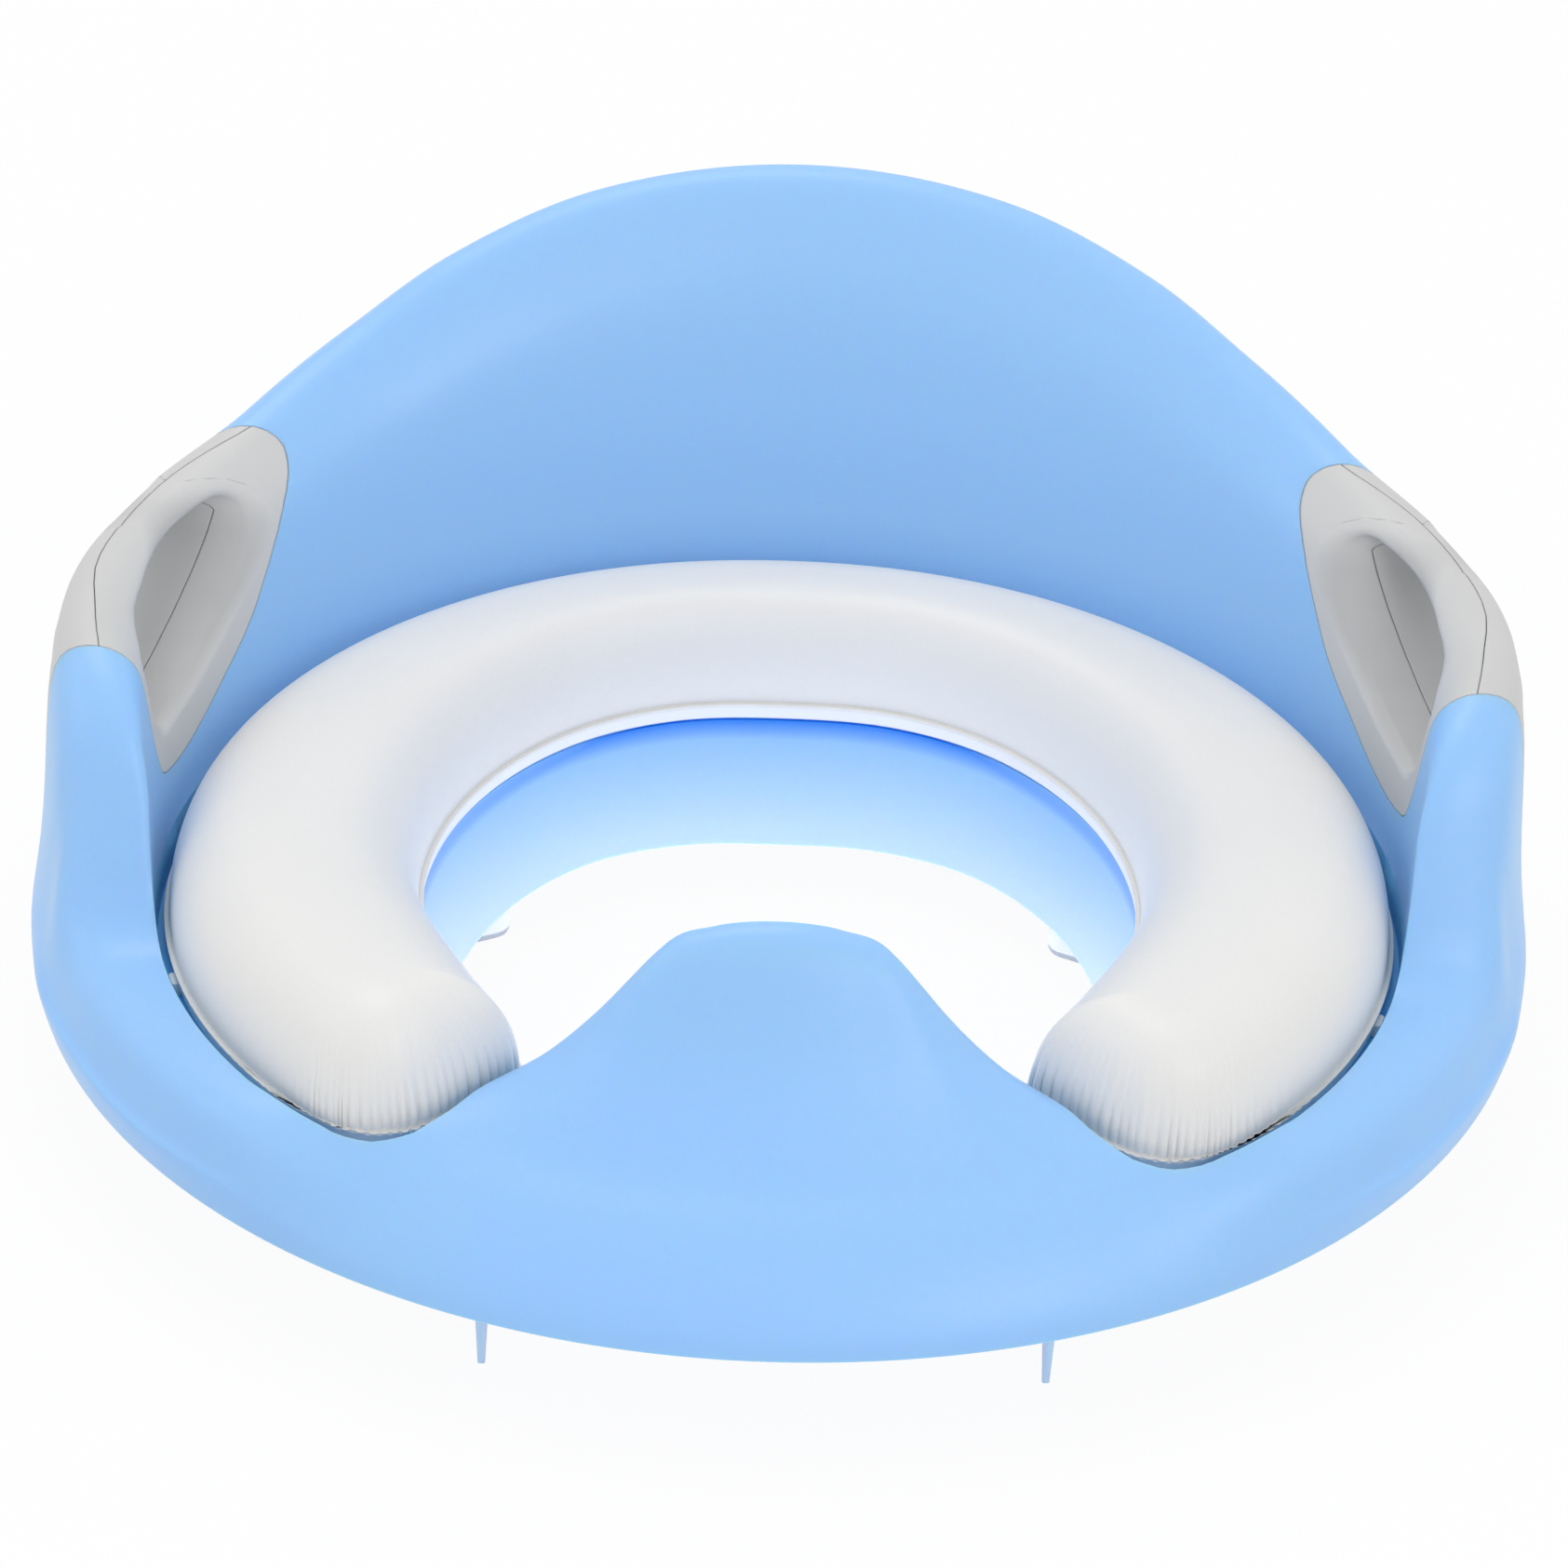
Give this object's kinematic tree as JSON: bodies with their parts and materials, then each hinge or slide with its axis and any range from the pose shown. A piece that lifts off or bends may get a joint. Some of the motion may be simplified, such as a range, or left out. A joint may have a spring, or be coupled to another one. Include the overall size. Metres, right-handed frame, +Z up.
{
  "type": "potty training seat",
  "caption": "Potty training seat: blue moulded shell with backrest and splash guard, grey side handles, removable C-shaped padded cushion and rubber pads below.",
  "frame": {"origin": "middle of the bounding box in plan, at the underside of the rubber pads", "axes": "+X to the right seen from the front, +Y towards the backrest, +Z up"},
  "size_m": [0.4, 0.342, 0.1798],
  "materials": {
    "shell_blue": "semi-gloss moulded polypropylene",
    "handle_grey": "satin soft-touch moulding",
    "cushion_white": "soft vinyl with a fine leather grain",
    "board_white": "satin moulding",
    "pad_white": "matte soft rubber",
    "screw_steel": "zinc-plated"
  },
  "bodies": {
    "root": {"seat_shell": "shell_blue", "cushion": "cushion_white", "cushion_board": "board_white", "handle_inner_left": "handle_grey", "handle_outer_left": "handle_grey", "handle_screws_left": "screw_steel", "pad_front_left": "pad_white", "pad_rear_left": "pad_white", "handle_inner_right": "handle_grey", "handle_outer_right": "handle_grey", "handle_screws_right": "screw_steel", "pad_front_right": "pad_white", "pad_rear_right": "pad_white"}
  },
  "joints": []
}
